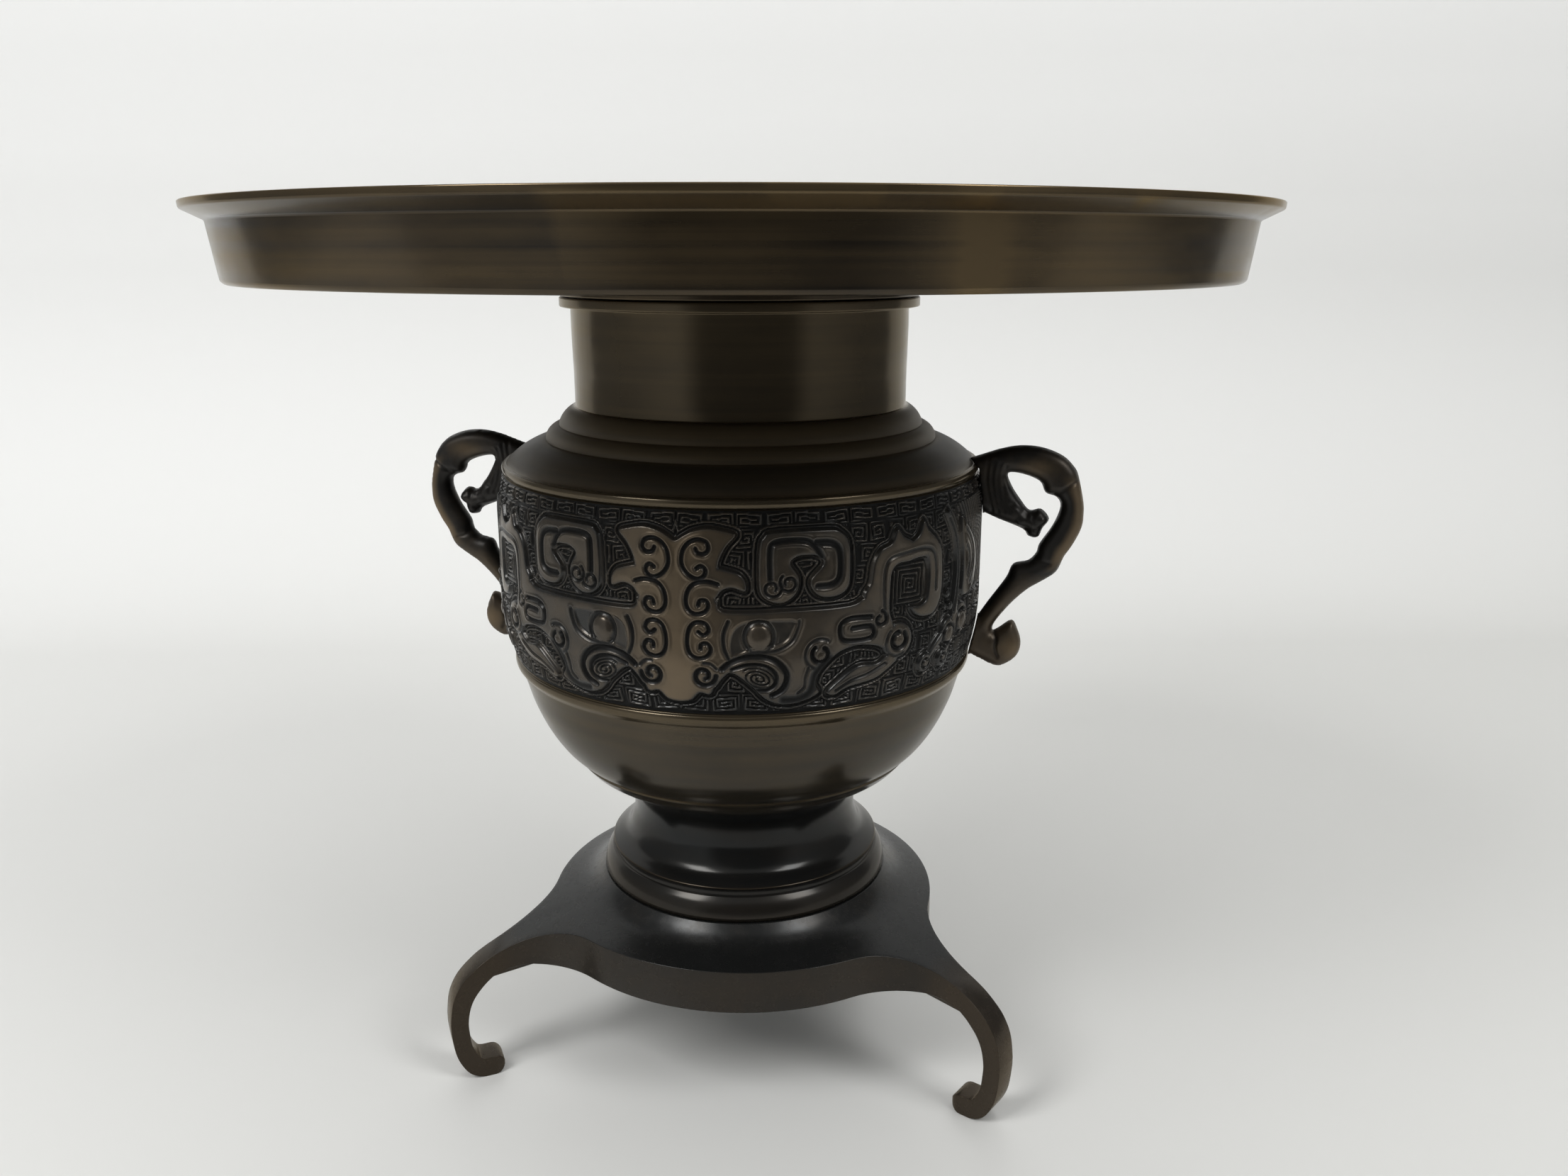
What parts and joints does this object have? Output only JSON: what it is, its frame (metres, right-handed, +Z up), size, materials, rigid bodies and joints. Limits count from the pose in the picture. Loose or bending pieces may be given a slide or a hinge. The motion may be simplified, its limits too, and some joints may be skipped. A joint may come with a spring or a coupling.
{
  "type": "usubata flower vase",
  "caption": "Cast bronze flower vase: wide lift-off dish over a hollow frieze-carved body with dragon handles, waisted pedestal and a tripod stand with curled feet.",
  "frame": {"origin": "centre of the bounding box in plan, on the floor plane that the three feet rest on", "axes": "+Z up along the vase's axis; -Y is the front, where the mask on the frieze looks; the two handles lie on -X and +X"},
  "size_m": [0.3, 0.3, 0.2657],
  "materials": {
    "bronze_dish": "dark brown patinated bronze, satin",
    "bronze_body": "dark patinated bronze, worn brown on the raised parts, satin",
    "bronze_handle": "dark patinated bronze, worn brown on the outer faces",
    "bronze_pedestal": "black-brown patinated bronze, smooth satin",
    "bronze_stand": "black-brown patinated bronze, satin"
  },
  "bodies": {
    "root": {"top_dish": "bronze_dish", "vase_body": "bronze_body", "dragon_handle_left": "bronze_handle", "dragon_handle_right": "bronze_handle", "pedestal": "bronze_pedestal", "tripod_stand": "bronze_stand"}
  },
  "joints": []
}
